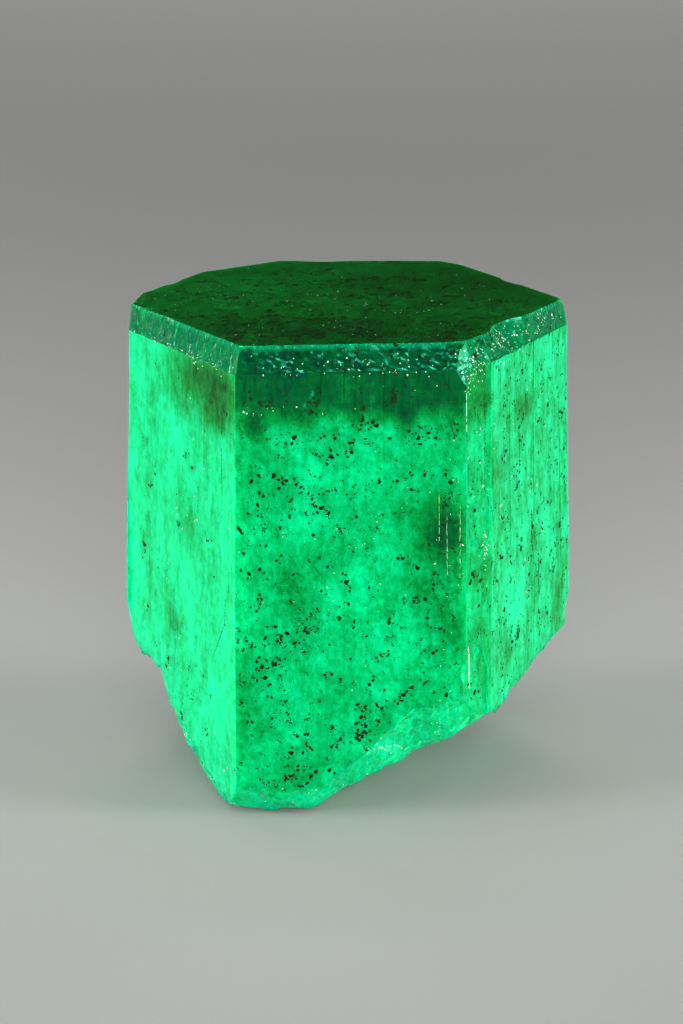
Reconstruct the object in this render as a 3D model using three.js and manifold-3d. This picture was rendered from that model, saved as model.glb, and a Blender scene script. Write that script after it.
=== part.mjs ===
// Emerald crystal: a six-sided beryl prism with a flat top face, a narrow frosted band under its rim
// and a broken underside that slants up to the right. Millimetres, +Z up. The origin is on the plane
// that the crystal stands on, under the middle of its box. X runs to the right, Y to the back.
import * as THREE from "three";
import { mergeVertices } from "three/addons/utils/BufferGeometryUtils.js";
import Module from "manifold-3d";

const wasm = await Module();
wasm.setup();

// Driving dimensions
const topHeight = 26.1; // standing plane to the flat top face
const bandHeight = 1.35; // frosted band between the rim and the side faces
const rimWear = 0.08; // worn corner between the top face and the band
const ledgeDrop = 0.1; // height of the small ledge where the band meets the side faces
const ledgeShare = 0.9; // share of the way from the rim to the side faces at which the band starts
const skirt = 3; // how far the rough prism reaches below the standing plane before it is broken off
const striaWidth = 1.1; // mean width of the upright growth strips on the side faces
const striaDepth = 0.035; // how far neighbouring strips stand apart
const striaJitter = 0.7; // how uneven the strips are in width, as a share of that width
const striaSill = 0.05; // width of the step between two strips
const swayShare = 0.4; // how much a strip's step changes up the crystal
const swayPitch = 0.45; // how fast it changes, in radians a millimetre
const flare = 0.26; // how much wider the left and right corners are low down than at the band
const flareTop = 1; // how far below the band the flare begins
const flareEnd = 9.5; // height at which it is full
const halfWidth = 12; // middle to the left or right corner
const fractureCell = 0.5; // spacing of the points on the broken underside
const scoopDepth = 0.35; // depth of the shallow scoops between the places that touch the ground
const scoopSize = 3.2; // their width
const scoopShift = 0.15; // how much less than half of the underside they leave standing
const rubble = 0.2; // height of the small lumps on the broken underside
const rubbleSize = 1.5; // their width
const calmHeight = 1.2; // height under which the lumps die away, so that the crystal stands firm
const chipCell = 0.4; // spacing of the points on a chip

// Corners of the crystal in plan, anticlockwise from above: side is the corner of the prism,
// rim the same corner of the top face.
const corners = [
  { side: [-12.12, -0.12], rim: [-11.97, 0.06] }, // left, front of the small side face
  { side: [-6.05, -11.08], rim: [-5.8, -10.42] }, // front left
  { side: [6.2, -10.02], rim: [6.0, -9.46] }, // front right
  { side: [7.6, -8.05], rim: [7.2, -7.6] }, // end of the narrow strip beside the front right edge
  { side: [12.05, 1.4], rim: [11.8, 1.4] }, // right
  { side: [6.65, 10.8], rim: [6.4, 10.6] }, // back right
  { side: [5.3, 11.85], rim: [5.2, 11.62] }, // back right, after its worn corner
  { side: [-4.05, 11.85], rim: [-4.0, 11.66] }, // back left
  { side: [-8.42, 8.8], rim: [-8.3, 8.58] }, // back left, after the second side face
  { side: [-11.6, 3.1], rim: [-11.5, 2.82] }, // left, back of the small side face
];

// Heights at which the side wall has a ring of points
const bandFoot = topHeight - bandHeight;
const sideRings = [-skirt, 3, 7, 10, 13, 16, 19.5, 22.5, bandFoot - ledgeDrop];
const crownRings = [bandFoot, topHeight - rimWear, topHeight];

// Where the front face ends above the break: [x, height]
const upperLip = [
  [-7.5, 1.1], [-6.0, 1.85], [-4.8, 1.55], [-2.1, 1.6], [-0.7, 2.1], [0.1, 2.8],
  [1.85, 4.4], [2.8, 5.5], [3.6, 6.1], [6.0, 6.3], [6.5, 6.5], [7.2, 6.1], [8.4, 5.0],
];
// The lowest edge of the break that shows from the front: [x, y, height]
const lowerLip = [
  [-7.5, -9.4, 0.4], [-6.4, -9.9, 0.3], [-5.2, -9.8, 0.0], [-3.0, -10.3, -0.05],
  [-2.0, -10.0, 0.05], [-1.2, -9.3, 0.45], [0.2, -9.5, 1.38], [1.3, -9.2, 1.95],
  [2.9, -8.2, 2.33], [3.75, -8.2, 2.92], [5.0, -8.5, 3.52], [6.0, -8.6, 4.06], [8.0, -7.4, 5.0],
];
// Where the left side face ends above the break, with its step: [x, height]
const leftLip = [
  [-13, 13], [-12.25, 8.8], [-11.97, 6.95], [-11.7, 6.55], [-11.2, 6.5], [-10.75, 6.3], [-10.4, 5.55],
  [-10.08, 4.0], [-9.7, 3.25], [-8.8, 2.35], [-8.02, 1.2], [-7.5, 0.7], [-6.7, 0.0], [-5, -3],
];

// Fracture faces under the back and the right: height over the origin, rise to the right and to the back
const breakSlants = [[-3.74, -0.707, 0.379], [-2.2, 0.2, 0.33], [-8.8, 1.397, -0.354]];
// Where the break starts from in plan: y of the front face over the origin and of the left side face
// at its corner, and how either changes with x
const frontFoot = { y: -10.55, lean: 0.087 };
const leftFoot = { x: -6.05, y: -10.3, lean: -1.79 };
// How the left fracture face rises to the back: at the front, at the back, and the x and rate of change
const leftTilt = { front: -0.25, back: 0.12, start: -8, gain: 0.3 };
// Splintered margin of the left side face: how fast it falls inward, how far it sinks below the lip line,
// and the x between which it begins
const leftBevel = { fall: 1.2, drop: 0.1, between: [-10.9, -10.2] };
const behindLipFall = 0.25; // how fast the break falls away behind its lowest edge

// Chips knocked out of the rim and the edges: where, half their length, how deep they bite, and the
// bearing and the slope of the side that was knocked off, in degrees
const chips = [
  { at: [5.6, -9.5, topHeight], long: 1.7, deep: 0.2, bearing: -75, slope: 45 },
  { at: [6.15, -9.9, 24.9], long: 2.0, deep: 0.28, bearing: -48, slope: 15 },
  { at: [8.5, -4.75, topHeight], long: 2.0, deep: 0.4, bearing: -28, slope: 28 },
  { at: [-5.8, -10.42, topHeight], long: 0.55, deep: 0.16, bearing: -118, slope: 30 },
  { at: [11.8, 1.4, topHeight], long: 0.6, deep: 0.2, bearing: 2, slope: 30 },
  { at: [-9.9, -3.4, topHeight], long: 0.9, deep: 0.1, bearing: -151, slope: 40 },
  { at: [-1.6, 11.65, topHeight], long: 1.5, deep: 0.28, bearing: 90, slope: 35 },
  { at: [9.1, 6.0, topHeight], long: 1.2, deep: 0.22, bearing: 31, slope: 40 },
  { at: [-9.9, 5.7, topHeight], long: 1.0, deep: 0.2, bearing: 150, slope: 30 },
  { at: [-12.2, 0.6, 7.3], long: 1.3, deep: 0.45, bearing: 176, slope: -12 },
  { at: [6.25, -10.05, 8.1], long: 0.8, deep: 0.16, bearing: -60, slope: -4 },
  { at: [12.25, 1.5, 8.6], long: 1.0, deep: 0.22, bearing: 2, slope: -14 },
  { at: [-8.42, 8.8, 8.2], long: 1.5, deep: 0.25, bearing: 138, slope: -8 },
  { at: [5.9, 11.5, 12.4], long: 1.3, deep: 0.2, bearing: 60, slope: 3 },
];

// Thin terraces where growth stopped early, cut into a side face. Each runs out through the band or
// through the break: where its middle is, the bearing of the face, its width, and its foot and head
const aboveTop = topHeight + 1;
const terraces = [
  { middle: [6.95, -9.0], bearing: -35.4, wide: 2.2, foot: 14.3, head: aboveTop, deep: 0.1 },
  { middle: [6.85, -9.15], bearing: -35.4, wide: 2.2, foot: -skirt, head: 9.8, deep: 0.07 },
  { middle: [-10.9, -2.55], bearing: -151, wide: 5.5, foot: -skirt, head: aboveTop, deep: 0.04 },
  { middle: [9.3, 6.2], bearing: 31.3, wide: 3.4, foot: -skirt, head: 17.3, deep: 0.09 },
  { middle: [7.6, 9.1], bearing: 31.3, wide: 2.2, foot: 12.2, head: aboveTop, deep: 0.07 },
  { middle: [2.6, 11.85], bearing: 90, wide: 3.4, foot: 8.6, head: aboveTop, deep: 0.1 },
  { middle: [-2.2, 11.85], bearing: 90, wide: 2.4, foot: -skirt, head: 14.9, deep: 0.08 },
  { middle: [-6.25, 10.3], bearing: 125.2, wide: 2.4, foot: -skirt, head: 19.2, deep: 0.08 },
  { middle: [-10.4, 5.3], bearing: 150.5, wide: 2.6, foot: 10.4, head: aboveTop, deep: 0.08 },
];

// A repeatable stream of numbers from 0 to 1
function makeRandom(seed) {
  let state = seed;
  return () => {
    state = (state * 1664525 + 1013904223) % 4294967296;
    return state / 4294967296;
  };
}

// Value at x on a line of [x, value] points, level beyond its ends
function along(points, x, part = 1) {
  const last = points.length - 1;
  if (x <= points[0][0]) return points[0][part];
  if (x >= points[last][0]) return points[last][part];
  const i = points.findIndex((p) => p[0] > x);
  const share = (x - points[i - 1][0]) / (points[i][0] - points[i - 1][0]);
  return THREE.MathUtils.lerp(points[i - 1][part], points[i][part], share);
}

// A three.js geometry as a solid that can be joined and cut
function solidOf(geometry) {
  const bare = geometry.clone();
  bare.deleteAttribute("normal");
  bare.deleteAttribute("uv");
  const merged = mergeVertices(bare, 1e-4);
  return new wasm.Manifold(new wasm.Mesh({
    numProp: 3,
    vertProperties: merged.attributes.position.array,
    triVerts: new Uint32Array(merged.index.array),
  }));
}

// Points round the crystal in plan, one for each column of the wall. Each growth strip has two
// points, and its step is how far it stands in from the face.
function wallColumns() {
  const random = makeRandom(7);
  const columns = [];
  corners.forEach((corner, i) => {
    const next = corners[(i + 1) % corners.length];
    const width = Math.hypot(next.side[0] - corner.side[0], next.side[1] - corner.side[1]);
    const count = Math.max(1, Math.round(width / striaWidth));
    const ends = Array.from({ length: count + 1 }, (_, k) =>
      k === 0 || k === count ? k / count : (k + striaJitter * (random() - 0.5)) / count);
    for (let k = 0; k < count; k++) {
      const step = k === 0 || k === count - 1 ? 0 : random() * striaDepth;
      const phase = random();
      const sill = striaSill / width;
      columns.push({ corner, next, share: ends[k] + (k ? sill : 0), step, phase });
      if (k < count - 1) columns.push({ corner, next, share: ends[k + 1] - sill, step, phase });
    }
  });
  return columns;
}

// Place of a column at a height, on the side faces or on the crown above them
function wallPoint(column, z, crown) {
  const key = crown ? "rim" : "side";
  const a = column.corner[key];
  const b = column.next[key];
  const point = new THREE.Vector2(
    THREE.MathUtils.lerp(a[0], b[0], column.share),
    THREE.MathUtils.lerp(a[1], b[1], column.share),
  );
  const outward = new THREE.Vector2(b[1] - a[1], a[0] - b[0]).normalize();
  if (crown) return point;
  const sway = 1 - swayShare + swayShare * Math.sin(z * swayPitch + column.phase * 2 * Math.PI);
  point.addScaledVector(outward, -column.step * sway);
  const low = THREE.MathUtils.smoothstep(bandFoot - z, flareTop, bandFoot - flareEnd);
  point.x *= 1 + (flare / halfWidth) * low * Math.abs(point.x) / halfWidth;
  return point;
}

// The whole prism with its crown, before it is broken and chipped
function makePrism() {
  const columns = wallColumns();
  const rings = [...sideRings, ...crownRings];
  const geometry = new THREE.CylinderGeometry(1, 1, 1, columns.length, rings.length - 1);
  geometry.rotateX(Math.PI / 2);
  const place = geometry.attributes.position;
  for (let i = 0; i < place.count; i++) {
    const [x, y, z] = [place.getX(i), place.getY(i), place.getZ(i)];
    const ring = Math.round((z + 0.5) * (rings.length - 1));
    if (Math.hypot(x, y) < 0.5) {
      place.setXYZ(i, 0, 0, rings[ring]);
      continue;
    }
    const turn = THREE.MathUtils.euclideanModulo(Math.atan2(y, x) / (2 * Math.PI), 1);
    const column = columns[Math.round(turn * columns.length) % columns.length];
    const crown = ring >= sideRings.length;
    const point = wallPoint(column, rings[ring], crown);
    if (ring === sideRings.length) {
      // the foot of the crown steps in a little from the side faces
      const side = wallPoint(column, rings[ring], false);
      point.lerp(side, ledgeShare);
    }
    if (ring === rings.length - 1) point.multiplyScalar(1 - rimWear / halfWidth);
    place.setXYZ(i, point.x, point.y, rings[ring]);
  }
  return solidOf(geometry);
}

// Smooth lumps from -1 to 1
function lumps(x, y, size, seed) {
  const [u, v] = [x / size + seed, y / size - seed];
  return (
    Math.sin(u * 2.1 + 1.3 * Math.sin(v * 1.7)) * Math.sin(v * 2.3 + 1.1 * Math.sin(u * 1.9)) * 0.6 +
    Math.sin(u * 4.7 + v * 3.1 + 2.0 * Math.sin(v * 2.9)) * 0.4
  );
}

// Height of the broken underside: the highest of its fracture faces, and never below the ground
function breakHeight(x, y) {
  const frontY = frontFoot.y + frontFoot.lean * x;
  const lipY = along(lowerLip, x, 1);
  const lipZ = along(lowerLip, x, 2);
  const lipTop = along(upperLip, x);
  const frontFace = lipTop - ((lipTop - lipZ) * (y - frontY)) / (lipY - frontY);
  const behindLip = lipZ - behindLipFall * (y - lipY);
  const frontPart = x < upperLip[0][0] ? 0 : Math.max(frontFace, behindLip);
  const leftY = leftFoot.y + leftFoot.lean * (x - leftFoot.x);
  const tilt = leftTilt.front + leftTilt.gain * (leftTilt.start - x);
  const leftFall = THREE.MathUtils.clamp(tilt, leftTilt.front, leftTilt.back);
  const bevel = THREE.MathUtils.smoothstep(x, ...leftBevel.between);
  const margin = -bevel * (leftBevel.drop + leftBevel.fall * (y - leftY));
  const leftPart = along(leftLip, x) + Math.max(leftFall * (y - leftY), margin);
  const slants = breakSlants.map(([middle, rightward, backward]) =>
    middle + rightward * x + backward * y);
  const scoop = scoopDepth * (lumps(x, y, scoopSize, 5) - scoopShift);
  const face = Math.max(frontPart, leftPart, ...slants, scoop);
  const rough = rubble * lumps(x, y, rubbleSize, 3) + 0.5 * rubble * lumps(x, y, 0.4 * rubbleSize, 8);
  return Math.max(0, face + rough * THREE.MathUtils.smoothstep(face, -0.1, calmHeight));
}

// Everything under the break, as one block to cut away
function makeBreak() {
  const size = [28, 26];
  const cells = size.map((s) => Math.round(s / fractureCell));
  const geometry = new THREE.BoxGeometry(size[0], size[1], 2, cells[0], cells[1], 1);
  const place = geometry.attributes.position;
  for (let i = 0; i < place.count; i++) {
    const upper = place.getZ(i) > 0;
    place.setZ(i, upper ? breakHeight(place.getX(i), place.getY(i)) : -skirt - 1);
  }
  return solidOf(geometry);
}

// A scooped chip: a lumpy ball, large against its bite, sunk into the edge by its depth
function makeChip({ at, long, deep, bearing, slope }) {
  const radius = (long * long + deep * deep) / (2 * deep);
  const parts = Math.min(9, Math.round((radius * 1.05) / chipCell));
  const geometry = new THREE.IcosahedronGeometry(radius, parts - 1);
  const place = geometry.attributes.position;
  const point = new THREE.Vector3();
  for (let i = 0; i < place.count; i++) {
    point.fromBufferAttribute(place, i);
    const bump = lumps(point.x + point.z, point.y - point.z, long * 0.8, at[0]);
    point.setLength(radius + 0.18 * deep * bump);
    place.setXYZ(i, point.x, point.y, point.z);
  }
  const angle = THREE.MathUtils.degToRad(bearing);
  const rise = THREE.MathUtils.degToRad(slope);
  const out = (radius - deep) * Math.cos(rise);
  const up = (radius - deep) * Math.sin(rise);
  geometry.translate(at[0] + out * Math.cos(angle), at[1] + out * Math.sin(angle), at[2] + up);
  return solidOf(geometry);
}

// A terrace: a thin slab with ragged, slanting ends sunk into a side face
function makeTerrace({ middle, bearing, wide, foot, head, deep }) {
  const outline = [
    [-0.5, foot + 1.6], [-0.34, foot + 0.5], [-0.1, foot + 0.9], [0.06, foot], [0.5, foot + 0.7],
    [0.5, head - 2.1], [0.22, head - 0.6], [0.08, head - 1.0], [-0.16, head], [-0.5, head - 0.5],
  ];
  const shape = new THREE.Shape(outline.map(([x, z]) => new THREE.Vector2(x * wide, z)));
  const geometry = new THREE.ExtrudeGeometry(shape, { depth: 1, bevelEnabled: false });
  geometry.rotateX(Math.PI / 2);
  geometry.translate(0, deep, 0);
  geometry.rotateZ(THREE.MathUtils.degToRad(bearing + 90));
  geometry.translate(middle[0], middle[1], 0);
  return solidOf(geometry);
}

// The finished crystal: the prism, broken off below, with its terraces and chips
function makeCrystal() {
  let crystal = makePrism().subtract(makeBreak());
  for (const terrace of terraces) crystal = crystal.subtract(makeTerrace(terrace));
  for (const chip of chips) crystal = crystal.subtract(makeChip(chip));
  const made = crystal.getMesh();
  const geometry = new THREE.BufferGeometry();
  geometry.setAttribute("position", new THREE.BufferAttribute(made.vertProperties, 3));
  geometry.setIndex(new THREE.BufferAttribute(made.triVerts, 1));
  geometry.computeBoundingBox();
  const middle = geometry.boundingBox.getCenter(new THREE.Vector3());
  geometry.translate(-middle.x, -middle.y, -geometry.boundingBox.min.z);
  geometry.computeVertexNormals();
  return geometry;
}

const emeraldMaterial = new THREE.MeshStandardMaterial({
  color: 0x0fa35a,
  roughness: 0.25,
  metalness: 0,
  flatShading: true,
});

const emerald = new THREE.Group();
const crystal = new THREE.Mesh(makeCrystal(), emeraldMaterial);
crystal.name = "emerald_crystal";
emerald.add(crystal);

export default emerald;
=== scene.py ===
import math

import bpy
import numpy as np
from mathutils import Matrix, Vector


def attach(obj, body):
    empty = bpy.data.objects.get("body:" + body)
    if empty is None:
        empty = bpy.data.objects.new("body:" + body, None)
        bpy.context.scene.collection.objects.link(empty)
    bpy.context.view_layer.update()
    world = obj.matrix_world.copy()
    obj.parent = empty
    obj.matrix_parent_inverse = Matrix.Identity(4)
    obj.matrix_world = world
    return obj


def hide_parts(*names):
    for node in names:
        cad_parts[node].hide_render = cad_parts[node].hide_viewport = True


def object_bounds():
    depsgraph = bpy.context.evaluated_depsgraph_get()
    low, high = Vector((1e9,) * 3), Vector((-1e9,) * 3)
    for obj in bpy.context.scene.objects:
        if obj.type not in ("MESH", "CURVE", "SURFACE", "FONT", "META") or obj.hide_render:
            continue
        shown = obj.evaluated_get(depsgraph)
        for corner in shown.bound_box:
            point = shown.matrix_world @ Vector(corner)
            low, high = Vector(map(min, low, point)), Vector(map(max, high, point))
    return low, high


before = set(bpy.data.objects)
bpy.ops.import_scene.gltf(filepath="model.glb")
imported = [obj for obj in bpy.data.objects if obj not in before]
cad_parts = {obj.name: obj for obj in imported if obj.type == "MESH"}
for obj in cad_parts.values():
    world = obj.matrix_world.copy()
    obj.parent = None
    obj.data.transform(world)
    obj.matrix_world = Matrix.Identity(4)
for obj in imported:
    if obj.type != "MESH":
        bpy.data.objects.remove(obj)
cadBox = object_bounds()

mm = 0.001
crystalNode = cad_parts["emerald_crystal"]
topHeight = cadBox[1].z
print("stage 1: frame loaded, crystal is", round(topHeight / mm, 2), "mm tall")


# helpers for objects and materials

def pickOnly(piece):  # one object selected and active, nothing else
    bpy.ops.object.select_all(action="DESELECT")
    piece.select_set(True)
    bpy.context.view_layer.objects.active = piece


def linear(hexColour):  # sRGB hex to the linear values that the shader wants
    values = []
    for i in (1, 3, 5):
        c = int(hexColour[i:i + 2], 16) / 255
        values.append(c / 12.92 if c <= 0.04045 else ((c + 0.055) / 1.055) ** 2.4)
    return (*values, 1)


def addNode(tree, kind, sockets=(), **settings):  # a node with its settings, values and links
    node = tree.nodes.new(kind)
    for name, value in settings.items():
        setattr(node, name, value)
    for socket, value in dict(sockets).items():
        if isinstance(value, bpy.types.NodeSocket):
            tree.links.new(value, node.inputs[socket])
        else:
            node.inputs[socket].default_value = value
    return node


# camera, at the angle the photograph was taken from

cameraSettings = {
    "target": (-0.387 * mm, -1.071 * mm, 14.488 * mm),
    "distance": 276.5 * mm,
    "elevation": 14.74,  # degrees above the horizon
    "lens": 175.8,
    "sensor": 36,
}


def makeCamera(s):
    tilt = math.radians(s["elevation"])
    back = Vector((0, -math.cos(tilt), math.sin(tilt)))
    place = Vector(s["target"]) + back * s["distance"]
    bpy.ops.object.camera_add(location=place, rotation=(math.pi / 2 - tilt, 0, 0))
    camera = bpy.context.object
    camera.data.sensor_width = s["sensor"]
    camera.data.lens = s["lens"]
    camera.data.clip_start = 10 * mm
    bpy.context.scene.camera = camera


makeCamera(cameraSettings)


# light: low soft lamps all round the crystal, one over it, and four over the floor further out

lightSettings = {
    # name: (bearing, elevation, distance, width, watts, beam in degrees, seen in glossy faces)
    "leftLamp": (196, 8, 0.25, 0.12, 0.10, 50, True),
    "rightLamp": (-16, 8, 0.25, 0.12, 0.10, 50, True),
    "frontLamp": (-89, 12, 0.30, 0.14, 0.14, 50, True),
    "topLamp": (90, 86, 0.35, 0.20, 0.04, 70, True),
    "backLeftLamp": (122, 5, 0.30, 0.10, 0.03, 50, True),
    "backRightLamp": (56, 5, 0.30, 0.10, 0.03, 50, False),
}
floorLamps = {
    "bearings": (0, 90, 180, 270),
    "reach": 0.56,  # m from the crystal to the spot that each one lights
    "height": 0.60,
    "width": 0.40,
    "watts": 1.5,
    "beam": 90,
}
roomGrey = 0.02


def makeLamp(name, place, aim, width, watts, beam, mirrored=True):
    facing = (aim - place).to_track_quat("-Z", "Y").to_euler()
    bpy.ops.object.light_add(type="AREA", location=place, rotation=facing)
    lamp = bpy.context.object
    lamp.name = name
    lamp.data.size = width
    lamp.data.energy = watts
    lamp.data.spread = math.radians(beam)
    lamp.visible_camera = False
    lamp.visible_glossy = mirrored


def makeLights(lights, overFloor):
    middle = Vector((0, 0, topHeight / 2))
    for name, (bearing, elevation, distance, *lamp) in lights.items():
        turn, rise = math.radians(bearing), math.radians(elevation)
        way = Vector((math.cos(turn) * math.cos(rise), math.sin(turn) * math.cos(rise), math.sin(rise)))
        makeLamp(name, middle + way * distance, middle, *lamp)
    for bearing in overFloor["bearings"]:
        turn = math.radians(bearing)
        foot = Vector((math.cos(turn), math.sin(turn), 0)) * overFloor["reach"]
        above = foot + Vector((0, 0, overFloor["height"]))
        lamp = [overFloor[fact] for fact in ("width", "watts", "beam")]
        makeLamp(f"floorLamp{bearing}", above, foot, *lamp)
    world = bpy.data.worlds.new("studioRoom")
    world.use_nodes = True
    world.node_tree.nodes["Background"].inputs["Color"].default_value = (roomGrey, roomGrey, roomGrey, 1)
    bpy.context.scene.world = world
    bpy.context.scene.view_settings.view_transform = "Standard"


makeLights(lightSettings, floorLamps)


# floor: pale board painted matt, plain and even to the eye

floorSettings = {"width": 4.0, "colour": "#989896", "roughness": 0.7}


def makeFloor(s):
    bpy.ops.object.select_all(action="DESELECT")
    bpy.ops.mesh.primitive_plane_add(size=s["width"], location=(0, 0, 0))
    floor = bpy.context.object
    floor.name = "floor"
    painted = bpy.data.materials.new("matt painted board")
    painted.use_nodes = True
    shader = painted.node_tree.nodes["Principled BSDF"]
    shader.inputs["Base Color"].default_value = linear(s["colour"])
    shader.inputs["Roughness"].default_value = s["roughness"]
    floor.data.materials.append(painted)


makeFloor(floorSettings)
print("stage 2: camera, lights and floor")


# the crystal: a fine copy of the solid, with growth lines, a frosted band and a rough break

crystalShape = {
    "ringStep": 0.7,  # mm between level cuts
    "breakTop": 7.2,  # mm, as high as the break reaches
    "breakStep": 0.3,  # mm between level cuts there
    "bandStep": 0.15,  # mm between level cuts in the frosted band
    "columnStep": 0.22,  # mm between upright cuts across
    "rowStep": 0.3,  # mm between upright cuts front to back
    "rimMargin": 0.1,  # mm under the rim that no level cut enters
    "weld": 0.001,  # mm, nearer corners are merged
    "bandHeight": 1.45,  # mm from the rim down to the side faces
    "bandSlack": 0.02,  # mm above its foot that still count as side face
    "topSlack": 0.2,  # mm under the highest point that belong to the top face
    "levelNormal": 0.9,  # a face is level from this upward part of its normal
    "uprightNormal": 0.12,  # and upright below this part
    "borderHold": 0.35,  # share of its sinking that a zone has at its border
    "striaWidth": 0.45,  # mm, growth lines on the side faces
    "striaLength": 14,
    "striaDepth": 0.03,
    "frostGrain": 0.35,  # mm, etched grain of the band
    "frostDepth": 0.05,
    "breakGrain": 0.75,  # mm, waves of the break
    "breakDepth": 0.22,
    "chipGrain": 0.9,  # mm, small hollow chips in the break
    "chipDepth": 0.14,
}


def levels(low, high, step):  # values between two ends, a step apart
    return np.arange(low + step / 2, high, step)


def refineMesh(piece, s):
    low, high = cadBox[0] / mm, cadBox[1] / mm
    bandFoot = high.z - s["bandHeight"]
    cuts = [((0, 0, 1), z) for z in levels(0, s["breakTop"], s["breakStep"])]
    cuts += [((0, 0, 1), z) for z in levels(s["breakTop"], bandFoot, s["ringStep"])]
    cuts += [((0, 0, 1), z) for z in levels(bandFoot, high.z - s["rimMargin"], s["bandStep"])]
    cuts += [((1, 0, 0), x) for x in levels(low.x, high.x, s["columnStep"])]
    cuts += [((0, 1, 0), y) for y in levels(low.y, high.y, s["rowStep"])]
    pickOnly(piece)
    bpy.ops.object.mode_set(mode="EDIT")
    bpy.ops.mesh.select_all(action="SELECT")
    bpy.ops.mesh.remove_doubles(threshold=s["weld"] * mm)
    for normal, place in cuts:
        bpy.ops.mesh.select_all(action="SELECT")
        bpy.ops.mesh.bisect(plane_co=Vector(normal) * place * mm, plane_no=normal)
    bpy.ops.mesh.select_all(action="SELECT")
    bpy.ops.mesh.quads_convert_to_tris()
    bpy.ops.object.mode_set(mode="OBJECT")


def faceFacts(mesh):  # centres in mm, normals and areas of the faces
    count = len(mesh.polygons)
    centres, normals, areas = np.zeros(count * 3), np.zeros(count * 3), np.zeros(count)
    mesh.polygons.foreach_get("center", centres)
    mesh.polygons.foreach_get("normal", normals)
    mesh.polygons.foreach_get("area", areas)
    return centres.reshape(-1, 3) / mm, normals.reshape(-1, 3), areas / mm**2


def markZones(piece, s):  # which faces are top face, frosted band, side face or break
    mesh = piece.data
    centres, normals, _ = faceFacts(mesh)
    high = topHeight / mm
    top = (normals[:, 2] > s["levelNormal"]) & (centres[:, 2] > high - s["topSlack"])
    band = (centres[:, 2] > high - s["bandHeight"] + s["bandSlack"]) & ~top
    upright = (np.abs(normals[:, 2]) < s["uprightNormal"]) & ~band
    broken = ~(top | band | upright) & (centres[:, 2] < s["breakTop"])
    side = ~(top | band | broken)
    zones = {"topFace": top, "frosted": band, "sideFace": side, "broken": broken}
    for name, mask in zones.items():
        zone = mesh.attributes.new(name, "FLOAT", "FACE")
        zone.data.foreach_set("value", mask.astype(np.float32))
        group = piece.vertex_groups.new(name=name)
        chosen = {v for p, m in zip(mesh.polygons, mask) if m for v in p.vertices}
        border = chosen & {v for p, m in zip(mesh.polygons, mask) if not m for v in p.vertices}
        group.add(sorted(border), s["borderHold"], "REPLACE")
        group.add(sorted(chosen - border), 1.0, "REPLACE")


# growth zones: soft light and dark patches that a natural beryl shows from where it grew fast or slow,
# with painted light on top: each face lighter or darker as the lamps fall, a painted highlight on the rim
# and painted highlights on the break

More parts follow.
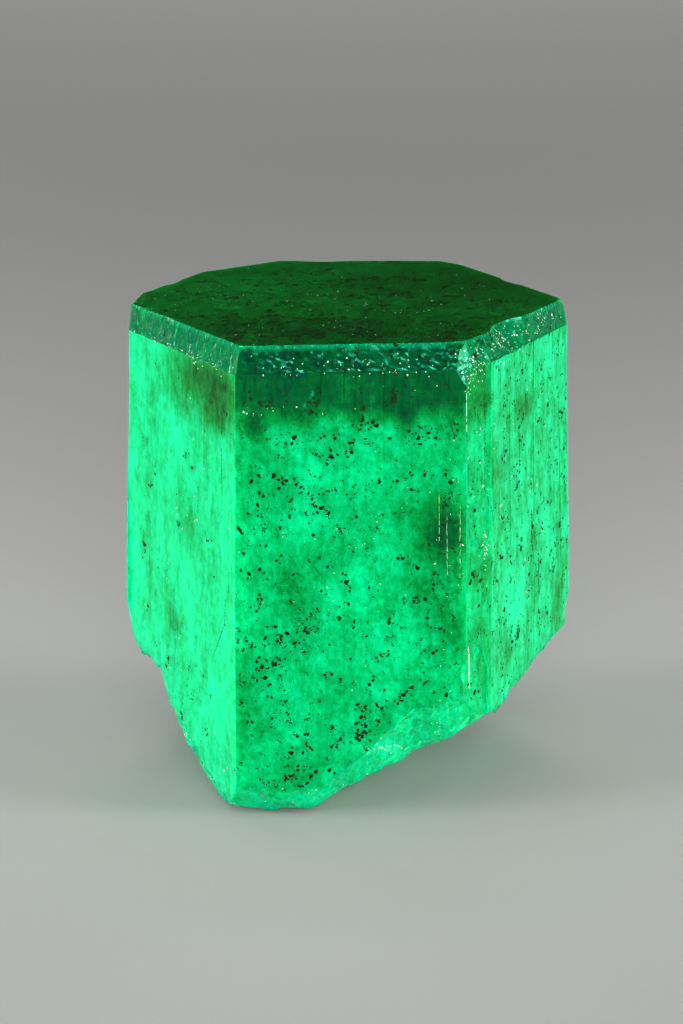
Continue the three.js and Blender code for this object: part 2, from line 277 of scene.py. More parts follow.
growthAndPaintedLight = {
    # glow is lightness from 0 to 1, growth zones and painted light together; teal is how far the colour
    # turns bluer
    "faceBearings": {"front": -85, "left": -151, "strip": -35, "right": -25},  # way the face looks
    "faceReach": {"front": 20, "left": 20, "strip": 5, "right": 5},  # degrees to either side
    "faceMiddle": {"front": -0.82, "left": 0.3, "strip": 0.0, "right": 0.0},  # mm, where across is 0
    # partly painted light: the left and right faces are made lighter and the front darker, as the side
    # lamps fall on them
    "sideGlowWithPaintedLight": {"front": 0.62, "left": 0.79, "strip": 0.60, "right": 0.70},
    "otherGlow": 0.70,
    "topGlow": 0.25,
    "bandGlow": {"front": 0.07, "left": 0.22, "strip": 0.22, "right": 0.22},
    "otherBandGlow": 0.25,
    "paintedRimHighlight": 0.34,
    "rimWidth": 0.12,  # mm of the band next to the top face, where a highlight is painted
    "bandTeal": {"front": 0.08, "left": 0.6, "strip": 0.7, "right": 0.6},
    "otherBandTeal": 0.7,
    "chipFoot": 23.2,  # mm, where the frosted chip at the right front corner ends
    "chipBearings": (-64, -41),  # degrees
    "crush": {"front": 0.08, "left": 0.2, "strip": 0.4, "right": 0.28},  # how far crushed facets tilt
    "otherCrush": 0.5,
    "breakCrush": 0.5,
    # the break is painted light, partly for its frosting and partly as painted highlights on its glossy
    # ridges
    "breakGlowWithPaintedHighlights": 0.76,
    "breakTeal": 0.25,
    "capFoot": 22.15,  # mm, where the dark growth zone under the top ends
    "capWave": 0.7,  # mm that its foot wanders
    "waves": ((2.2, 0.9), (3.2, 2.3), (4.5, 4.7)),  # (weakened by, radians per mm) of its foot
    "roundWave": 12,  # mm that the wave counts for each radian round the back
    "capFade": 1.1,  # mm over which it fades, up and down
    "capGlow": 0.14,
    "darkestFoot": 24.7,  # mm, where its darkest part ends
    "darkestWave": 0.15,
    "darkestFade": 0.25,
    "darkestGlow": 0.04,
    "capShare": {"front": 1.0, "left": 0.0, "strip": 0.45, "right": 0.0},
    "otherCapShare": 0.35,
    "streaky": {"front": 0.25, "left": 0.6, "strip": 0.6, "right": 0.9},
    "otherStreaky": 0.7,
    "calm": (0.1, 0.55, 0.65),  # below the second lightness clouds fade, to the third number at the first
    # patches: (across, up, half width, half height, change), in mm as seen with the face straight ahead
    "patches": {
        "front": [
            (0.0, 24.2, 0.9, 0.7, 0.14), (-5.2, 21.8, 0.7, 0.5, -0.24), (-4.3, 22.7, 1.5, 0.3, 0.26),
            (-3.6, 21.2, 1.0, 0.8, 0.10), (2.0, 21.4, 1.4, 0.6, 0.16), (0.2, 20.5, 0.8, 0.3, -0.16),
            (-2.2, 18.6, 0.9, 1.4, 0.14), (0.5, 18.8, 0.9, 1.6, 0.14), (-2.7, 16.5, 1.0, 0.9, 0.14),
            (-1.6, 14.6, 1.2, 0.6, -0.13), (-5.4, 14.5, 1.0, 3.0, 0.08), (0.3, 13.2, 0.9, 1.0, 0.14),
            (-0.6, 11.7, 1.2, 0.8, 0.10), (-2.8, 12.3, 0.9, 2.0, -0.18), (4.9, 15.7, 1.4, 2.0, -0.50),
            (3.8, 12.8, 0.8, 1.0, -0.20), (5.3, 10.3, 1.0, 2.2, -0.22), (2.4, 9.5, 1.2, 1.0, 0.10),
            (1.9, 7.2, 0.9, 0.8, 0.14), (-5.5, 7.0, 0.8, 3.5, -0.12), (-2.9, 2.4, 0.7, 0.7, -0.15),
            (-5.6, 24.2, 1.2, 1.2, 0.10), (5.2, 20.6, 0.7, 1.0, -0.10), (-5.0, 17.0, 1.8, 3.5, -0.07),
        ],
        "left": [
            (5.0, 23.6, 2.8, 2.0, -0.52), (1.4, 23.6, 2.4, 1.7, -0.38), (4.9, 21.7, 1.4, 0.8, -0.26),
            (2.4, 21.9, 1.0, 0.5, -0.14), (0.2, 21.8, 0.8, 0.6, -0.12), (-1.2, 14.0, 0.25, 7.0, -0.10),
            (-5.4, 12.5, 0.9, 3.6, 0.16), (-3.3, 17.0, 0.6, 7.0, -0.10), (0.1, 19.7, 0.9, 1.1, 0.14),
            (1.4, 15.5, 0.9, 1.2, -0.24), (1.2, 11.0, 0.8, 1.3, 0.15), (-0.4, 9.3, 0.9, 1.1, -0.28),
            (4.2, 6.8, 1.3, 1.6, 0.12), (3.6, 14.0, 0.7, 2.4, -0.10), (5.4, 12.0, 0.3, 8.0, 0.10),
        ],
        "strip": [
            (-3.8, 22.4, 0.9, 1.0, -0.14), (-4.4, 9.0, 0.4, 3.0, 0.10), (-3.2, 12.0, 0.5, 4.0, -0.08),
        ],
        "right": [
            (-3.0, 24.1, 1.0, 0.8, 0.10), (3.4, 23.4, 1.3, 1.6, 0.22), (0.2, 21.2, 1.3, 0.8, -0.42),
            (-3.6, 18.2, 1.2, 1.3, -0.24), (0.6, 15.0, 1.5, 1.8, 0.10), (1.2, 12.6, 0.7, 2.4, -0.20),
            (-1.1, 10.3, 1.4, 1.7, 0.22), (-2.4, 7.8, 1.0, 0.9, -0.18), (4.6, 9.2, 0.6, 1.8, -0.30),
            (3.0, 13.5, 0.8, 4.0, 0.12), (-0.9, 18.0, 0.6, 2.0, 0.06),
        ],
        "cap": [(0.0, 24.2, 0.9, 0.7, 0.14)],
        # lighter patches on the break: partly frosting, partly painted highlights
        "break": [(1.8, 3.6, 1.0, 0.35, 0.30), (-1.5, 0.9, 1.6, 0.3, 0.15), (5.0, 5.4, 0.8, 0.3, 0.12)],
        "top": [(-7.0, 3.0, 4.0, 5.0, 0.09), (6.5, 5.0, 4.5, 4.0, -0.10), (0.0, -7.0, 7.0, 3.0, -0.08)],
    },
}


def smoothStep(low, high, value):
    t = np.clip((value - low) / (high - low), 0, 1)
    return t * t * (3 - 2 * t)


def wander(across, seed):  # a slow uneven wave along a face, from about -1 to 1
    return sum(np.sin(across * f + seed * f) / n for n, f in growthAndPaintedLight["waves"])


def softPatches(across, up, patches):  # change in lightness that soft round patches give
    total = np.zeros(len(across))
    for a, b, halfWidth, halfHeight, change in patches:
        total += change * np.exp(-((across - a) / halfWidth) ** 2 - ((up - b) / halfHeight) ** 2)
    return total


def paintGrowthAndLight(piece, s):  # writes what each face corner looks like in five attributes
    mesh = piece.data
    count = len(mesh.polygons)
    normals = faceFacts(mesh)[1].repeat(3, 0)
    order = np.zeros(count * 3, int)
    mesh.loops.foreach_get("vertex_index", order)
    points = np.zeros(len(mesh.vertices) * 3)
    mesh.vertices.foreach_get("co", points)
    x, y, z = (points.reshape(-1, 3)[order] / mm).T
    zone = {}
    for name in ("topFace", "frosted", "sideFace", "broken"):
        values = np.zeros(count, np.float32)
        mesh.attributes[name].data.foreach_get("value", values)
        zone[name] = values.repeat(3) > 0.5
    bearing = np.degrees(np.arctan2(normals[:, 1], normals[:, 0]))
    glow = np.full(len(x), s["otherGlow"])
    capShare = np.full(len(x), s["otherCapShare"])
    streaky = np.full(len(x), s["otherStreaky"])
    capFoot = s["capFoot"] + s["capWave"] * wander(np.arctan2(y, x) * s["roundWave"], 1)
    teal = np.zeros(len(x))
    for name, way in s["faceBearings"].items():
        turn = math.radians(way)
        across = y * math.cos(turn) - x * math.sin(turn) - s["faceMiddle"][name]
        here = np.abs(bearing - way) < s["faceReach"][name]
        # each face's lightness, partly painted light and shade from the side lamps
        glow[here] = s["sideGlowWithPaintedLight"][name] + softPatches(across[here], z[here], s["patches"][name])
        capShare[here] = s["capShare"][name]
        streaky[here] = s["streaky"][name]
        capFoot[here] = s["capFoot"] + s["capWave"] * wander(across[here], 2)
    cap = smoothStep(-s["capFade"], s["capFade"], z - capFoot)
    aboveFoot = z - s["darkestFoot"] - s["darkestWave"] * wander(x * 2, 3)
    darkest = smoothStep(-s["darkestFade"], s["darkestFade"], aboveFoot)
    depth = s["capGlow"] + (s["darkestGlow"] - s["capGlow"]) * darkest
    capPatches = softPatches(x, z, s["patches"]["cap"])
    glow += (depth + capPatches - glow) * cap * capShare
    firstChip, lastChip = s["chipBearings"]
    chip = zone["sideFace"] & (z > s["chipFoot"]) & (bearing > firstChip) & (bearing < lastChip)
    band = zone["frosted"] | chip
    crush = np.zeros(len(x))
    glow[band], teal[band], crush[band] = s["otherBandGlow"], s["otherBandTeal"], s["otherCrush"]
    for name, way in s["faceBearings"].items():
        here = band & (np.abs(bearing - way) < s["faceReach"][name])
        glow[here], teal[here], crush[here] = s["bandGlow"][name], s["bandTeal"][name], s["crush"][name]
    # painted highlight: the band's edge along the top face is made lighter and fully teal
    rim = band & (z > topHeight / mm - s["rimWidth"])
    glow[rim], teal[rim] = s["paintedRimHighlight"], 1
    top = zone["topFace"]
    glow[top] = s["topGlow"] + softPatches(x[top], y[top], s["patches"]["top"])
    broken = zone["broken"]
    teal[broken], crush[broken] = s["breakTeal"], s["breakCrush"]
    # painted highlights: the break is made lighter, in part to stand for light on its glossy ridges
    glow[broken] = s["breakGlowWithPaintedHighlights"] + softPatches(x[broken], z[broken], s["patches"]["break"])
    streaky[top | band | broken] = 0
    dim, bright, leastClouds = s["calm"]
    cloudy = leastClouds + (1 - leastClouds) * smoothStep(dim, bright, glow)
    painted = {"glow": glow, "teal": teal, "crush": crush, "streaky": streaky, "cloudy": cloudy}
    for name, values in painted.items():
        mesh.attributes.new(name, "FLOAT", "CORNER").data.foreach_set("value", values.astype(np.float32))


def sinkSurface(piece, zone, size, depth, pattern="CLOUDS"):  # presses an uneven pattern into one zone
    bpy.ops.object.empty_add(location=(0, 0, 0))
    guide = bpy.context.object
    guide.scale = [v * mm for v in size]
    sink = piece.modifiers.new(zone, "DISPLACE")
    sink.texture = bpy.data.textures.new(zone, pattern)
    sink.texture_coords = "OBJECT"
    sink.texture_coords_object = guide
    sink.vertex_group = zone
    sink.mid_level = 1  # inward only, so no growth past the solid
    sink.strength = depth * mm
    bpy.context.view_layer.update()
    pickOnly(piece)
    bpy.ops.object.modifier_apply(modifier=sink.name)
    bpy.data.objects.remove(guide)


def makeCrystal(s):
    piece = bpy.data.objects.new("emerald", crystalNode.data.copy())
    bpy.context.collection.objects.link(piece)
    piece.data.materials.clear()
    refineMesh(piece, s)
    markZones(piece, s)
    paintGrowthAndLight(piece, growthAndPaintedLight)
    sinkSurface(piece, "sideFace", (s["striaWidth"], s["striaWidth"], s["striaLength"]), s["striaDepth"])
    sinkSurface(piece, "frosted", [s["frostGrain"]] * 3, s["frostDepth"])
    sinkSurface(piece, "broken", [s["breakGrain"]] * 3, s["breakDepth"])
    sinkSurface(piece, "broken", [s["chipGrain"]] * 3, s["chipDepth"], "VORONOI")
    return piece


crystal = makeCrystal(crystalShape)
print("stage 3: crystal has", len(crystal.data.polygons), "faces")


# emerald: clear green beryl, clouded by fine inclusions

emeraldFinish = {
    "glowColours": [  # from the darkest glow to the lightest, growth zones and painted light alike
        (0.00, "#002606"), (0.20, "#00540f"), (0.40, "#008a2f"), (0.60, "#00b664"),
        (0.80, "#00de8e"), (1.00, "#0af8b0"),
    ],
    "teal": "#00926a",  # bluer green of the frosted band
    "tealShare": 0.6,
    "patterns": [  # size in mm, how much longer upright, change in lightness, attribute that it follows
        (2.4, 1.0, 0.13, "cloudy"), (0.9, 1.3, 0.14, "cloudy"), (0.35, 1.3, 0.20, "cloudy"),
        (0.15, 1.2, 0.10, "cloudy"), (1.1, 2.2, 0.16, "streaky"), (0.4, 5.0, 0.24, "streaky"),
        (0.6, 1.0, 0.30, "teal"), (0.2, 1.0, 0.26, "teal"),
    ],
    "patternDetail": 2,
    "patternRoughness": 0.6,
    "ior": 1.577,
    "roughness": 0.2,
    "polish": (-0.03, 0.05),  # change in roughness between growth lines
    "frostRoughness": 0.05,  # added where the skin is frosted
    "shine": 0.14,
    "shineTint": (0.05, 1, 0.6, 1),
    "transmission": 0.5,
    "glowDistance": 3.0,  # mm that green light spreads under the surface
    "glowRadius": (0.1, 1.0, 0.5),  # share of it for red, green and blue
    "absorptionColour": "#00f0b0",
    "absorptionDensity": 60,  # per metre
    "facetSize": 0.26,  # mm, crushed facets of the band and the break
    "lineSpacing": 0.16,  # mm between the finest growth lines
    "lineStretch": 0.09,  # pattern scale upwards, for lines eleven times as long as wide
    "lineStrength": 0.05,
    "lineDepth": 0.02,  # mm
}
noiseRange = {"From Min": 0.3, "From Max": 0.7}  # nearly all values of a noise pattern


def makeEmerald(s):  # gives a green glow from inside, with glassy faces; part of its lightness is painted light, read from the glow attribute
    beryl = bpy.data.materials.new("emerald, natural etched beryl")
    beryl.use_nodes = True
    tree = beryl.node_tree
    shader = tree.nodes["Principled BSDF"]
    place = addNode(tree, "ShaderNodeTexCoord").outputs["Object"]
    inMm = addNode(tree, "ShaderNodeMapping", {
        "Vector": place, "Scale": (1 / mm, 1 / mm, 1 / mm)}).outputs[0]

    # lightness painted on the corners: growth zones plus painted light and shade
    glow = addNode(tree, "ShaderNodeAttribute", attribute_name="glow").outputs["Fac"]
    for size, stretch, change, share in s["patterns"]:
        drawn = addNode(tree, "ShaderNodeMapping", {
            "Vector": inMm, "Scale": (1, 1, 1 / stretch)}).outputs[0]
        pattern = addNode(tree, "ShaderNodeTexNoise", {
            "Vector": drawn, "Scale": 1 / size,
            "Detail": s["patternDetail"], "Roughness": s["patternRoughness"]}).outputs["Fac"]
        lighter = addNode(tree, "ShaderNodeMapRange", {
            "Value": pattern, **noiseRange, "To Min": -change / 2, "To Max": change / 2}).outputs[0]
        share = addNode(tree, "ShaderNodeAttribute", attribute_name=share).outputs["Fac"]
        glow = addNode(tree, "ShaderNodeMath", {
            0: lighter, 1: share, 2: glow}, operation="MULTIPLY_ADD").outputs[0]
    colours = addNode(tree, "ShaderNodeValToRGB", {"Fac": glow})
    scale = colours.color_ramp.elements
    while len(scale) < len(s["glowColours"]):
        scale.new(0.5)
    for step, (position, colour) in zip(scale, s["glowColours"]):
        step.position, step.color = position, linear(colour)
    teal = addNode(tree, "ShaderNodeAttribute", attribute_name="teal").outputs["Fac"]
    tealShare = addNode(tree, "ShaderNodeMath", {
        0: teal, 1: s["tealShare"]}, operation="MULTIPLY").outputs[0]
    body = addNode(tree, "ShaderNodeMix", {
        0: tealShare, 6: colours.outputs[0], 7: linear(s["teal"])}, data_type="RGBA").outputs[2]

    crush = addNode(tree, "ShaderNodeAttribute", attribute_name="crush").outputs["Fac"]
    facets = addNode(tree, "ShaderNodeTexVoronoi", {
        "Vector": inMm, "Scale": 1 / s["facetSize"]}).outputs["Color"]
    tilt = addNode(tree, "ShaderNodeVectorMath", {
        0: facets, 1: (0.5, 0.5, 0.5)}, operation="SUBTRACT").outputs[0]
    tilt = addNode(tree, "ShaderNodeVectorMath", {0: tilt, "Scale": crush}, operation="SCALE").outputs[0]
    upright = addNode(tree, "ShaderNodeMapping", {
        "Vector": inMm, "Scale": (1, 1, s["lineStretch"])}).outputs[0]
    lines = addNode(tree, "ShaderNodeTexNoise", {
        "Vector": upright, "Scale": 1 / s["lineSpacing"]}).outputs["Fac"]
    relief = addNode(tree, "ShaderNodeBump", {
        "Strength": s["lineStrength"], "Distance": s["lineDepth"] * mm, "Height": lines}).outputs[0]
    normal = addNode(tree, "ShaderNodeVectorMath", {0: relief, 1: tilt}, operation="ADD").outputs[0]
    normal = addNode(tree, "ShaderNodeVectorMath", {0: normal}, operation="NORMALIZE").outputs[0]
    smoother, rougher = s["polish"]
    polish = addNode(tree, "ShaderNodeMapRange", {
        "Value": lines, **noiseRange,
        "To Min": s["roughness"] + smoother, "To Max": s["roughness"] + rougher}).outputs[0]
    frosted = addNode(tree, "ShaderNodeMath", {
        0: teal, 1: s["frostRoughness"], 2: polish}, operation="MULTIPLY_ADD").outputs[0]

    tree.links.new(body, shader.inputs["Base Color"])
    tree.links.new(normal, shader.inputs["Normal"])
    tree.links.new(frosted, shader.inputs["Roughness"])
    shader.inputs["IOR"].default_value = s["ior"]
    shader.inputs["Transmission Weight"].default_value = s["transmission"]
    shader.inputs["Subsurface Weight"].default_value = 1
    shader.inputs["Subsurface Radius"].default_value = s["glowRadius"]
    shader.inputs["Subsurface Scale"].default_value = s["glowDistance"] * mm
    shader.inputs["Specular IOR Level"].default_value = s["shine"]
    shader.inputs["Specular Tint"].default_value = s["shineTint"]
    absorption = addNode(tree, "ShaderNodeVolumeAbsorption", {
        "Color": linear(s["absorptionColour"]), "Density": s["absorptionDensity"]})
    tree.links.new(absorption.outputs[0], tree.nodes["Material Output"].inputs["Volume"])
    return beryl


crystal.data.materials.append(makeEmerald(emeraldFinish))
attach(crystal, "root")
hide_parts("emerald_crystal")
print("stage 4: emerald finish")


# inclusions: dark mica flakes, thin dark cracks and light calcite grains that also serve as painted
# glints, at the skin or just below it

grainShapes = {
    "corners": 6,
    "raggedness": 0.7,  # share of its radius that a corner may move
    "unevenness": 0.2,  # share of that left in its thickness
    "taper": 0.8,
    "kinds": 8,
    "mostProud": 0.035,  # mm that a grain may stand outside the skin
    "leastInward": -0.5,  # a corner is inside where its way from the skin falls below this
}


def makeGrainShape(s, seed):  # one ragged plate, about radius 1 and thickness 1
    bpy.ops.object.select_all(action="DESELECT")
    bpy.ops.mesh.primitive_circle_add(vertices=s["corners"], radius=1, fill_type="NGON")
    grain = bpy.context.object
    bpy.ops.object.mode_set(mode="EDIT")
    bpy.ops.mesh.select_all(action="SELECT")
    bpy.ops.transform.vertex_random(offset=s["raggedness"], seed=seed)
    bpy.ops.transform.resize(value=(1, 1, s["unevenness"]))
    bpy.ops.mesh.extrude_region_move(TRANSFORM_OT_translate={"value": (0, 0, 1)})
    bpy.ops.transform.resize(value=(s["taper"], s["taper"], 1))
    bpy.ops.mesh.select_all(action="SELECT")
    bpy.ops.mesh.normals_make_consistent(inside=False)
    bpy.ops.object.mode_set(mode="OBJECT")
    points = np.array([v.co for v in grain.data.vertices])
    faces = [tuple(p.vertices) for p in grain.data.polygons]
    bpy.data.objects.remove(grain)
    return points - (0, 0, points[:, 2].max()), faces


shapes = [makeGrainShape(grainShapes, seed) for seed in range(grainShapes["kinds"])]


def standsProud(points, s):  # true if a grain would stick out past an edge of the crystal
    for point in points:
        _, near, normal, _ = crystal.closest_point_on_mesh(Vector(point) * mm)
        offset = Vector(point) * mm - near
        outside = offset.dot(normal) > s["leastInward"] * offset.length
        if outside and offset.length > s["mostProud"] * mm:
            return True
    return False


def joinGrains(name, grains):  # one mesh of many: (place, normal, (width, length, thickness), turn)
    points, faces, start = [], [], 0
    for i, (place, normal, size, turn) in enumerate(grains):
        shape, shapeFaces = shapes[i % len(shapes)]
        facing = np.array(Vector(normal).to_track_quat("Z", "Y").to_matrix())
        c, d = math.cos(turn), math.sin(turn)
        spun = (shape * np.array(size)) @ np.array([(c, d, 0), (-d, c, 0), (0, 0, 1)])
        spun = spun @ facing.T + np.array(place)
        if standsProud(spun, grainShapes):
            continue
        points.append(spun)
        faces += [tuple(v + start for v in face) for face in shapeFaces]
        start += len(shape)
    mesh = bpy.data.meshes.new(name)
    mesh.from_pydata((np.concatenate(points) * mm).tolist(), [], faces)
    mesh.update()
    piece = bpy.data.objects.new(name, mesh)
    bpy.context.collection.objects.link(piece)
    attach(piece, "root")
    return piece


chainGrains = {  # grains end to end along a line
    "scatter": 0.5,  # of their width
    "widths": (0.5, 1.2),
    "lengths": (0.3, 0.75),  # of the step between them
    "twist": 0.06,
}
farOut = 40  # mm, well outside the crystal


class Skin:  # places on the crystal's skin, in mm
    def __init__(self, mesh):
        self.centres, self.normals, self.areas = faceFacts(mesh)
        corners = np.zeros(len(mesh.vertices) * 3)
        mesh.vertices.foreach_get("co", corners)
        order = np.zeros(len(mesh.polygons) * 3, int)
        mesh.polygons.foreach_get("vertices", order)
        self.triangles = corners.reshape(-1, 3)[order.reshape(-1, 3)] / mm
        self.bearing = np.degrees(np.arctan2(self.normals[:, 1], self.normals[:, 0]))

    def scatter(self, dice, count, weight):
        chance = self.areas * weight
        chosen = dice.choice(len(chance), count, p=chance / chance.sum())
        a, b = np.sqrt(dice.random(count)), dice.random(count)
        t = self.triangles[chosen]
        shares = np.array((1 - a, a * (1 - b), a * b))[:, :, None]
        spots = t[:, 0] * shares[0] + t[:, 1] * shares[1] + t[:, 2] * shares[2]
        return list(zip(spots, self.normals[chosen]))

    def spot(self, face, across, up):  # straight in from outside a face, or down for the top
        if face == "top":
            start, way = Vector((across, up, farOut)), Vector((0, 0, -1))
        else:
            turn = math.radians(growthAndPaintedLight["faceBearings"][face])
            across += growthAndPaintedLight["faceMiddle"][face]
            way = Vector((-math.cos(turn), -math.sin(turn), 0))
            sideways = Vector((-math.sin(turn), math.cos(turn), 0))
            start = sideways * across - way * farOut + Vector((0, 0, up))
        hit, place, normal, _ = crystal.ray_cast(start * mm, way)
        return (np.array(place) / mm, np.array(normal)) if hit else None

    def chain(self, dice, face, points, step, width, thickness, proud):  # a crack or a streak
        c, grains = chainGrains, []
        for start, end in zip(points, points[1:]):
            reach = math.dist(start, end)
            turn = math.atan2(start[0] - end[0], end[1] - start[1])
            for t in np.arange(0, reach, step) / reach:
                offLine = dice.normal(0, width * c["scatter"], 2)
                across, up = np.array(start) * (1 - t) + np.array(end) * t + offLine
                found = self.spot(face, across, up)
                if found is None:
                    continue
                place, normal = found
                size = (width * dice.uniform(*c["widths"]), step * dice.uniform(*c["lengths"]), thickness)
                grains.append((place + normal * proud, normal, size, turn + dice.normal(0, c["twist"])))
        return grains


skin = Skin(crystal.data)

micaSettings = {
    "seed": 11,
    "thickness": 0.03,  # mm
    "proud": 0.012,  # mm above the skin
    "deepShare": 0.35,  # part of the flakes that lie deeper
    "deepest": 0.12,  # mm
    "smallest": 0.028,  # mm, radius
    "largest": 0.16,
    "rarity": 2.2,  # a higher number means fewer large flakes
    "widths": (0.35, 1.0),
    "lengths": (0.7, 1.5),  # of the width
    "clump": 0.2,  # mm between the flakes of a clump
    "endOfClump": 0.45,  # chance that a flake is its clump's last
    "grain": (0.3, 0.2, 0.9),  # way that clumps are measured along
    "perArea": {"front": 8.0, "left": 0.6, "strip": 3.4, "right": 5.5},  # clumps per mm2
    "perOtherArea": 1.2,
    "mostSlope": 0.5,  # a face is a side from this upward part of its normal down
    "slopeShare": 0.4,  # share of perOtherArea on all that slopes more
    "faceReach": 6,  # degrees to either side of a named face
    "perTopArea": 1.3,
    "topBack": (1, 0.45),  # behind this y in mm there is only this share
    "topBands": 100,  # flecked streaks on the top face, most of them in its front half
    "perTopBand": 16,
    "topBandReach": (1.1, 0.45),  # mm across and to the back
    "topAcross": 9.5,  # mm to either side that streaks start in
    "topFront": -9,
    "topDepth": 17,
    "topCrowding": 1.8,  # a higher number crowds streaks to the front
    "topGrowth": 1.4,
    "perCluster": 22,
    "clusterReach": (0.416, 0.32),  # mm across and up
    "clusters": [  # across and up the front face, mm
        (-3.4, 21.1), (-1.3, 20.4), (-0.2, 20.4), (-3.1, 18.5), (-2.1, 17.6), (-0.3, 16.1), (3.6, 21.2),
        (5.4, 21.5), (-2.6, 9.8), (-3.6, 9.8), (-2.7, 11.5), (-0.6, 11.4), (-2.3, 5.9), (1.9, 8.9),
        (3.8, 7.5), (-0.1, 4.3), (-3.3, 2.7), (-4.6, 2.2), (1.8, 5.7), (1.0, 5.0), (-5.3, 8.2),
    ],
    "cracks": [  # face, points (across, up), width
        ("strip", [(-3.05, 24.3), (-3.0, 20.5), (-2.98, 17.4)], 0.035),
        ("right", [(-4.6, 17.5), (-4.2, 16.0)], 0.04),
        ("left", [(5.25, 21.9), (5.22, 21.1)], 0.05),
        ("left", [(5.22, 20.2), (5.2, 18.4)], 0.045),
        ("left", [(5.6, 12.0), (5.5, 10.6), (4.1, 8.4)], 0.03),
        ("front", [(5.45, 22.2), (5.5, 20.9)], 0.05),
        ("front", [(3.6, 23.1), (5.4, 23.08)], 0.02),
        ("front", [(3.3, 6.1), (4.4, 6.0), (5.6, 6.1)], 0.03),
        ("right", [(1.0, 15.2), (1.1, 13.0)], 0.05),
        ("right", [(1.9, 12.2), (2.0, 10.4)], 0.035),
    ],
    "crackStep": 0.22,
}


def makeMica(s):
    dice = np.random.default_rng(s["seed"])
    upright = np.abs(skin.normals[:, 2]) < s["mostSlope"]
    density = np.where(upright, s["perOtherArea"], s["perOtherArea"] * s["slopeShare"])
    for face, way in growthAndPaintedLight["faceBearings"].items():
        density[upright & (np.abs(skin.bearing - way) < s["faceReach"])] = s["perArea"][face]
    level = crystalShape["levelNormal"]
    onTop = skin.normals[:, 2] > level
    backFrom, backShare = s["topBack"]
    density[onTop] = s["perTopArea"] * np.where(skin.centres[onTop, 1] < backFrom, 1.0, backShare)
    clumps = skin.scatter(dice, int((density * skin.areas).sum()), density)
    for across, up in s["clusters"]:
        for _ in range(s["perCluster"]):
            a, b = (dice.normal(0, reach) for reach in s["clusterReach"])
            clumps.append(skin.spot("front", across + a, up + b))
    for _ in range(s["topBands"]):
        across = dice.uniform(-s["topAcross"], s["topAcross"])
        back = s["topFront"] + s["topDepth"] * dice.random() ** s["topCrowding"]
        for _ in range(s["perTopBand"]):
            a, b = dice.normal(0, 1, 2) * s["topBandReach"]
            found = skin.spot("top", across + a, back + b)
            if found is not None and found[1][2] > level:
                clumps.append(found)
    grains = []
    for face, points, width in s["cracks"]:
        grains += skin.chain(dice, face, points, s["crackStep"], width, s["thickness"], s["proud"])
    for place, normal in clumps:
        sideways = np.cross(normal, s["grain"])
        sideways /= np.linalg.norm(sideways)
        upward = np.cross(sideways, normal)
        size = s["smallest"] * (s["largest"] / s["smallest"]) ** (dice.random() ** s["rarity"])
        size *= s["topGrowth"] if normal[2] > level else 1
        depth = s["proud"] - (dice.random() * s["deepest"] if dice.random() < s["deepShare"] else 0)
        for _ in range(dice.geometric(s["endOfClump"])):
            shift = sideways * dice.normal(0, s["clump"]) + upward * dice.normal(0, s["clump"])
            shift *= size / s["largest"]
            width = size * dice.uniform(*s["widths"])
            flake = (width, width * dice.uniform(*s["lengths"]), s["thickness"])
            grains.append((place + shift + normal * depth, normal, flake, dice.uniform(0, math.pi)))
    pieces = {"micaFlakesTop": [], "micaFlakesFront": [], "micaFlakesSides": []}
    for grain in grains:
        _, back, up = grain[1]
        name = "micaFlakesFront" if back < -level else "micaFlakesSides"
        pieces["micaFlakesTop" if up > level else name].append(grain)
    return [joinGrains(name, own) for name, own in pieces.items()]


flakes = makeMica(micaSettings)
micaFinish = {
    "dark": "#021204",
    "brown": "#182607",
    "patch": 0.4,  # mm
    "roughness": 0.7,
    "shine": 0.03,  # low, as the flakes are seen through green beryl
}


def makeMicaFinish(s):  # gives near-black specks with a dull shine
    mica = bpy.data.materials.new("biotite mica, dark flakes")
    mica.use_nodes = True
    tree = mica.node_tree
    shader = tree.nodes["Principled BSDF"]
    place = addNode(tree, "ShaderNodeTexCoord").outputs["Object"]
    patches = addNode(tree, "ShaderNodeTexNoise", {
        "Vector": place, "Scale": 1 / (s["patch"] * mm)}).outputs["Fac"]
    colour = addNode(tree, "ShaderNodeMix", {
        0: patches, 6: linear(s["dark"]), 7: linear(s["brown"])}, data_type="RGBA").outputs[2]
    tree.links.new(colour, shader.inputs["Base Color"])
    shader.inputs["Roughness"].default_value = s["roughness"]
    shader.inputs["Specular IOR Level"].default_value = s["shine"]
    return mica


mica = makeMicaFinish(micaFinish)
for piece in flakes:
    piece.data.materials.append(mica)
print("stage 5: mica flakes,", [len(piece.data.polygons) for piece in flakes], "faces")
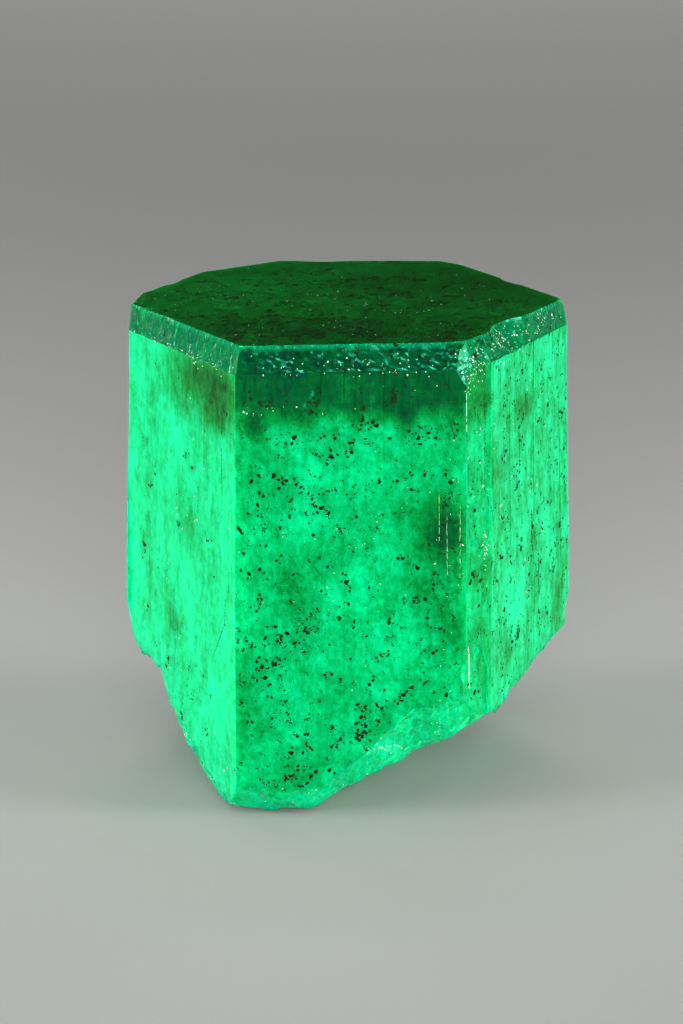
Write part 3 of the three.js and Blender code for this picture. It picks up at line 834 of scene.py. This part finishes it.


# white grains placed where the band, chip, break and faces sparkle: painted glints of light, given as
# calcite
calciteAndGlintSettings = {
    "seed": 5,
    "thickness": 0.03,  # mm
    "proud": 0.015,  # mm above the skin
    "smallest": 0.018,  # mm, radius
    "largest": 0.042,
    "rarity": 2.5,  # a higher number means fewer large grains
    "lengths": (0.8, 1.8),  # of the width
    "topShare": 0.5,  # of the width on the top face
    "spread": 0.6,  # of a patch's half width and height
    "twist": 0.8,
    "patches": [  # face, across, up, half width, half height, grains
        ("front", 0.0, 25.0, 6.0, 0.5, 34), ("front", 2.6, 24.8, 2.8, 0.7, 26),
        ("front", -4.6, 22.7, 1.4, 0.3, 10), ("front", 0.0, 14.0, 6.0, 8.0, 40),
        ("front", 5.4, 15.0, 0.6, 4.0, 16), ("left", 3.5, 24.6, 2.4, 0.35, 22),
        ("left", -2.0, 24.8, 3.5, 0.3, 8), ("left", 1.5, 14.0, 4.0, 8.0, 26),
        ("strip", -4.0, 24.7, 0.9, 0.9, 50), ("strip", -3.1, 14.5, 0.3, 1.0, 34),
        ("strip", -3.6, 20.0, 1.0, 3.0, 10), ("right", -2.0, 25.2, 2.6, 0.6, 70),
        ("right", 2.6, 25.3, 2.2, 0.5, 36), ("right", 0.0, 16.0, 4.5, 7.0, 40),
        ("top", 0.0, -2.0, 10.0, 8.0, 110), ("front", 0.0, 1.2, 6.0, 1.2, 14),
        ("front", 1.8, 3.6, 1.0, 0.4, 24), ("front", 5.0, 5.2, 1.6, 1.2, 8),
        ("left", 4.6, 2.5, 1.6, 2.0, 8), ("left", -2.4, 5.1, 0.5, 0.5, 12),
        ("left", -1.2, 4.1, 0.5, 0.5, 12), ("left", 0.2, 2.8, 0.5, 0.5, 12),
        ("strip", -4.6, 24.2, 0.4, 0.8, 26),
    ],
    "streaks": [  # face, points (across, up), width
        ("front", [(4.70, 17.6), (4.72, 15.4)], 0.008), ("front", [(5.13, 16.6), (5.16, 13.6)], 0.008),
        ("front", [(5.83, 17.2), (5.85, 13.4)], 0.008), ("strip", [(-4.92, 23.2), (-4.9, 21.2)], 0.017),
        ("strip", [(-4.5, 9.6), (-4.4, 7.0)], 0.03),
    ],
    "streakStep": 0.42,
}


def makeCalciteAndGlints(s):
    dice = np.random.default_rng(s["seed"])
    grains = []
    for face, across, up, halfWidth, halfHeight, count in s["patches"]:
        for _ in range(count):
            a, b = dice.normal(0, s["spread"], 2)
            found = skin.spot(face, across + a * halfWidth, up + b * halfHeight)
            if found is None:
                continue
            place, normal = found
            width = s["smallest"] + (s["largest"] - s["smallest"]) * dice.random() ** s["rarity"]
            width *= s["topShare"] if face == "top" else 1
            size = (width, width * dice.uniform(*s["lengths"]), s["thickness"])
            grains.append((place + normal * s["proud"], normal, size, dice.normal(0, s["twist"])))
    for face, points, width in s["streaks"]:
        grains += skin.chain(dice, face, points, s["streakStep"], width, s["thickness"], s["proud"])
    return joinGrains("calciteGrainsAndPaintedGlints", grains)


grains = makeCalciteAndGlints(calciteAndGlintSettings)
calciteAndGlintFinish = {
    # painted glint colours: white with gold, mint and pink
    "tones": [(0.00, "#e9d3a0"), (0.35, "#f4f6e6"), (0.60, "#a8ffd9"), (0.85, "#e8b9a6")],
    "patch": 0.5,  # mm
    "ior": 1.6,
    "roughness": 0.25,
}


def makeCalciteAndGlintFinish(s):  # gives bright points, white with a little gold, pink and mint, as painted glints
    calcite = bpy.data.materials.new("calcite grains and painted glints, white, gold and pink")
    calcite.use_nodes = True
    tree = calcite.node_tree
    shader = tree.nodes["Principled BSDF"]
    place = addNode(tree, "ShaderNodeTexCoord").outputs["Object"]
    patches = addNode(tree, "ShaderNodeTexNoise", {
        "Vector": place, "Scale": 1 / (s["patch"] * mm)}).outputs["Fac"]
    spread = addNode(tree, "ShaderNodeMapRange", {"Value": patches, **noiseRange}).outputs[0]
    tones = addNode(tree, "ShaderNodeValToRGB", {"Fac": spread})
    scale = tones.color_ramp.elements
    while len(scale) < len(s["tones"]):
        scale.new(0.5)
    for step, (position, colour) in zip(scale, s["tones"]):
        step.position, step.color = position, linear(colour)
    tree.links.new(tones.outputs[0], shader.inputs["Base Color"])
    shader.inputs["IOR"].default_value = s["ior"]
    shader.inputs["Roughness"].default_value = s["roughness"]
    return calcite


grains.data.materials.append(makeCalciteAndGlintFinish(calciteAndGlintFinish))
print("stage 6: calcite grains,", len(grains.data.polygons), "faces")
